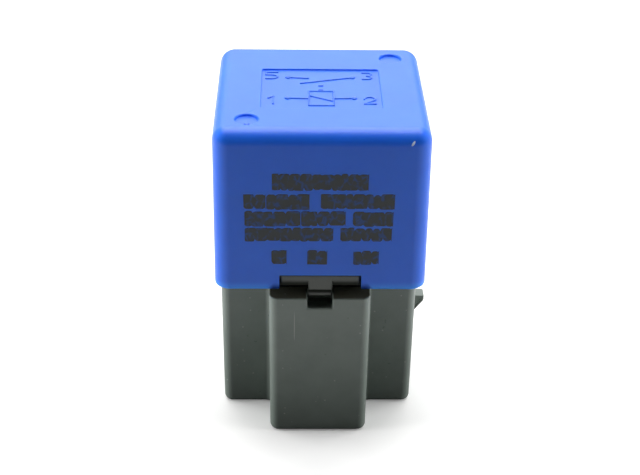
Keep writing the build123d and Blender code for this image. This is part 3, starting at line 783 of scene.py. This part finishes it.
# Front print: fields of dark ink in rows, pad-printed on the cover's front face, with ragged edges
# and worn thin in places. They say nothing: they only stand where the real one carries its print.
INK = (0.030, 0.036, 0.040, 1)
INK_THIN = (0.022, 0.060, 0.20, 1)      # where the blue shows through
PRINT_FIELDS = [        # left and right end, foot and height of each field, in millimetres
    (-6.1, 5.7, 37.8, 2.4),
    (-9.6, -6.9, 35.2, 2.2), (-6.8, -1.5, 35.1, 2.3), (-0.1, 9.0, 35.2, 2.2),
    (-9.5, -2.6, 32.75, 2.25), (-2.5, 3.0, 32.8, 2.2), (3.9, 8.9, 32.75, 2.2),
    (-9.5, 1.5, 30.6, 2.05), (2.4, 8.8, 30.6, 2.05),
    (-6.2, -4.3, 27.2, 2.2), (-1.7, 0.8, 27.2, 2.2), (4.1, 7.3, 27.2, 2.1),
]
PRINT_LIFT = 0.012 * MM
SMUDGE_WIDTH = (0.8, 1.6)       # of the lobes along a field's edges
SMUDGE_NOTCH = (0.05, 0.55)     # depth of the notches between them
SMUDGE_DRIFT = 0.14
SMUDGE_SHOULDER = 0.3           # from a notch up to its lobe
SEAMS = 1150                    # in a metre
SEAM_EDGE = (0.17, 0.03)        # distances at which a seam ends and at which it is deepest
WORN_PARTS = 900                # in a metre
WORN_FROM = (0.42, 0.62)        # values of the noise between which they begin
WALL_DRAFT = 0.15               # how far the front face leans in over its height, in millimetres
WALL_HEIGHT = 22.26


def ink():
    """Dull dark ink, worn thin along fine wandering seams, where the blue shows through."""
    material, tree, shader, place = new_finish("print_ink", INK, 0.55)
    cells = add(tree, "ShaderNodeTexVoronoi", feature="DISTANCE_TO_EDGE", Scale=SEAMS)
    stretch = add(tree, "ShaderNodeMapping", vector_type="POINT")
    stretch.inputs["Scale"].default_value = (1, 0, 0.62)
    drift = add(tree, "ShaderNodeTexNoise", Scale=WORN_PARTS, Detail=3.0)
    seam = spread(tree, *SEAM_EDGE)
    worn = spread(tree, *WORN_FROM)
    mix = add(tree, "ShaderNodeMix", data_type="RGBA")
    mix.inputs[6].default_value = INK
    mix.inputs[7].default_value = INK_THIN
    join(tree, place, stretch.inputs["Vector"], stretch.outputs["Vector"], cells.inputs["Vector"],
         cells.outputs["Distance"], seam.inputs["Value"], place, drift.inputs["Vector"],
         drift.outputs["Fac"], worn.inputs["Value"],
         both(tree, seam.outputs["Result"], worn.outputs["Result"]), mix.inputs[0],
         mix.outputs[2], shader.inputs["Base Color"])
    uneven_gloss(tree, place, shader, 0.45, 0.65, 900)
    return material


def smudged_edge(left, right, level, inward, chance):
    """Points along a field's upper or lower edge: lobes with soft notches between them."""
    points = []
    x = left
    while x < right:
        end = x + chance.uniform(*SMUDGE_WIDTH)
        if right - end < SMUDGE_WIDTH[0]:
            end = right
        notch = chance.uniform(*SMUDGE_NOTCH)
        height = level + inward * chance.uniform(0, SMUDGE_DRIFT)
        shoulder = min(SMUDGE_SHOULDER, (end - x) / 3)
        slope = height + inward * notch * 0.3
        points += [(x, level + inward * notch), (x + shoulder * 0.35, slope),
                   (x + shoulder, height), (end - shoulder, height),
                   (end - shoulder * 0.35, slope)]
        x = end
    return points + [(right, level + inward * SMUDGE_NOTCH[0])]


def printed(name, fields, material):
    """One thin sheet of ink for each field, on the leaning front face."""
    chance = random.Random(7)
    lean = WALL_DRAFT / WALL_HEIGHT
    form = bmesh.new()
    for left, right, foot, height in fields:
        verts = []
        lower = smudged_edge(left, right, foot, 1, chance)
        upper = smudged_edge(left, right, foot + height, -1, chance)
        for x, z in lower + upper[::-1]:
            y = cover_low.y + lean * (z * MM - cover_low.z) - PRINT_LIFT
            verts.append(form.verts.new((x * MM, y, z * MM)))
        form.faces.new(verts)
    bmesh.ops.recalc_face_normals(form, faces=form.faces)
    for face in form.faces:
        if face.normal.y > 0:
            face.normal_flip()
    mesh = bpy.data.meshes.new(name)
    form.to_mesh(mesh)
    form.free()
    mesh.materials.append(material)
    return placed(name, mesh)


front_print = printed("front_print", PRINT_FIELDS, ink())
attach(front_print, "relay")

# Studio: white paper, a wide soft lamp above, a long one behind that shines across the roof, and a
# low one at each side for the upright edges. The camera stands where the photograph was taken from.
PAPER = (0.90, 0.90, 0.89, 1)
PAPER_SHADE = (0.88, 0.88, 0.87, 1)
PAPER_REACH = 0.2                       # distance that the next places are shares of
PAPER_MIDDLE = Vector((0, 6, 0)) * MM   # and where it starts
PAPER_BOUNCE = ((0.12, 0.02), (0.25, 0.66), (0.62, 0.34))   # places, and light thrown back there
PAPER_BOUNCE_BEHIND = 0.40
PAPER_BESIDE = (0.018, 0.040)   # from the middle, where glossy surfaces see it as white as it is
PAPER_TURN = 0.04               # where the paper in front passes into the paper behind
PAPER_GLOW = (0.17, 1.0)        # added where the camera sees the paper, near and far off
PAPER_FAR = (0.12, 0.5)
FLOOR_HALF = 2.0
FLOOR_GAP = 0.02 * MM           # under the housing
LAMPS = {               # place, width and height in metres, and watts
    "lamp_above": ((0, 0.12, 0.43), 0.50, 0.40, 2.95),
    "lamp_rear": ((0, 0.52, 0.33), 0.70, 0.34, 0.9),
    "lamp_left": ((-0.45, 0.06, 0.115), 0.40, 0.20, 2.7),
    "lamp_right": ((0.45, 0.06, 0.115), 0.40, 0.20, 2.2),
}
LAMPS_UNSEEN = ("lamp_left", "lamp_right")      # so low that the roof would glare with them
LAMP_AIM = Vector((0, 0, 0.02))
ROOM_BEHIND = 1.0               # what glossy surfaces see of the white room behind
ROOM_BEFORE = 0.0               # and of the dark room in front
ROOM_TURN = (-0.75, -0.05)      # between which directions the one passes into the other
ROOM_LOW = 0.80                 # share of that light that is left near the horizon
ROOM_RISE = (0.0, 0.38)         # and the directions between which it grows to the whole


def paper():
    """White paper, faintly uneven. It shows white, and throws less light back than it shows."""
    material, tree, shader, place = new_finish("paper", PAPER, 0.9)
    shader.inputs["Specular IOR Level"].default_value = 0.1
    path = add(tree, "ShaderNodeLightPath")
    beside = both(tree, path.outputs["Is Glossy Ray"],
                  beyond(tree, place, "X", *PAPER_BESIDE, either_side=True))
    white = both(tree, path.outputs["Is Camera Ray"], beside, "MAXIMUM")
    mix = add(tree, "ShaderNodeMix", data_type="RGBA")
    behind = beyond(tree, place, "Y", -PAPER_TURN, PAPER_TURN)
    away = add(tree, "ShaderNodeVectorMath", operation="DISTANCE")
    away.inputs[1].default_value = PAPER_MIDDLE
    share = add(tree, "ShaderNodeMath", operation="DIVIDE")
    share.inputs[1].default_value = PAPER_REACH
    before = add(tree, "ShaderNodeValToRGB")
    before.color_ramp.elements.new(0.5)
    for stop, (at, level) in zip(before.color_ramp.elements, PAPER_BOUNCE):
        stop.position = at
        stop.color = (level, level, level, 1)
    bounce = add(tree, "ShaderNodeMix", data_type="RGBA")
    bounce.inputs[7].default_value = (PAPER_BOUNCE_BEHIND,) * 3 + (1,)
    glow = spread(tree, *PAPER_FAR, *PAPER_GLOW)
    shader.inputs["Emission Color"].default_value = (1, 1, 1, 1)
    join(tree, behind, bounce.inputs[0], place, away.inputs[0],
         away.outputs["Value"], share.inputs[0], share.outputs[0], before.inputs["Fac"],
         before.outputs["Color"], bounce.inputs[6], bounce.outputs[2], mix.inputs[6],
         white, mix.inputs[0], mottled(tree, place, (PAPER_SHADE, PAPER), 60), mix.inputs[7],
         mix.outputs[2], shader.inputs["Base Color"], away.outputs["Value"], glow.inputs["Value"],
         both(tree, path.outputs["Is Camera Ray"], glow.outputs["Result"]),
         shader.inputs["Emission Strength"])
    return material


floor_mesh = bpy.data.meshes.new("floor")
floor_mesh.from_pydata([(x * FLOOR_HALF, y * FLOOR_HALF, -FLOOR_GAP)
                        for x, y in ((-1, -1), (1, -1), (1, 1), (-1, 1))], [], [(0, 1, 2, 3)])
floor_mesh.materials.append(paper())
floor = placed("floor", floor_mesh)

for name, (place, width, height, watts) in LAMPS.items():
    light = bpy.data.lights.new(name, "AREA")
    light.shape = "RECTANGLE"
    light.size = width
    light.size_y = height
    light.energy = watts
    lamp = placed(name, light)
    lamp.location = place
    lamp.visible_glossy = name not in LAMPS_UNSEEN
    lamp.rotation_euler = (LAMP_AIM - Vector(place)).to_track_quat("-Z", "Y").to_euler()

world = bpy.data.worlds.new("studio")
bpy.context.scene.world = world
world.use_nodes = True
tree = world.node_tree
tree.nodes.clear()
path = add(tree, "ShaderNodeLightPath")
shown_white = add(tree, "ShaderNodeBackground", Strength=1.0)
mirrored = add(tree, "ShaderNodeBackground")
for ground in (shown_white, mirrored):
    ground.inputs["Color"].default_value = (1, 1, 1, 1)
way = add(tree, "ShaderNodeTexCoord")
parts = add(tree, "ShaderNodeSeparateXYZ")
depth = spread(tree, *ROOM_TURN, ROOM_BEFORE, ROOM_BEHIND)
rise = spread(tree, *ROOM_RISE, ROOM_LOW, 1.0)
by_mirror = add(tree, "ShaderNodeMixShader")
by_camera = add(tree, "ShaderNodeMixShader")
out = add(tree, "ShaderNodeOutputWorld")
glossy = both(tree, path.outputs["Is Glossy Ray"], path.outputs["Is Transmission Ray"], "MAXIMUM")
join(tree, way.outputs["Generated"], parts.inputs[0], parts.outputs["Y"], depth.inputs["Value"],
     parts.outputs["Z"], rise.inputs["Value"],
     both(tree, depth.outputs["Result"], rise.outputs["Result"]), mirrored.inputs["Strength"],
     glossy, by_mirror.inputs[0], mirrored.outputs[0], by_mirror.inputs[2],
     path.outputs["Is Camera Ray"], by_camera.inputs[0], by_mirror.outputs[0], by_camera.inputs[1],
     shown_white.outputs[0], by_camera.inputs[2], by_camera.outputs[0], out.inputs["Surface"])

CAMERA_PLACE = Vector((-3.747, -154.576, 116.114)) * MM
CAMERA_RIGHT = Vector((0.999754, -0.017157, 0.014006))
CAMERA_UP = Vector((-0.003156, 0.515585, 0.856836))
LENS = 74.37

camera_data = bpy.data.cameras.new("camera")
camera_data.lens = LENS
camera_data.sensor_width = 36
camera_data.sensor_fit = "HORIZONTAL"
camera_data.clip_start = 0.01
camera = placed("camera", camera_data)
backwards = CAMERA_RIGHT.cross(CAMERA_UP)
turn = Matrix((CAMERA_RIGHT, CAMERA_UP, backwards)).transposed()
camera.matrix_world = Matrix.Translation(CAMERA_PLACE) @ turn.to_4x4()
bpy.context.scene.camera = camera
bpy.context.scene.view_settings.view_transform = "Standard"
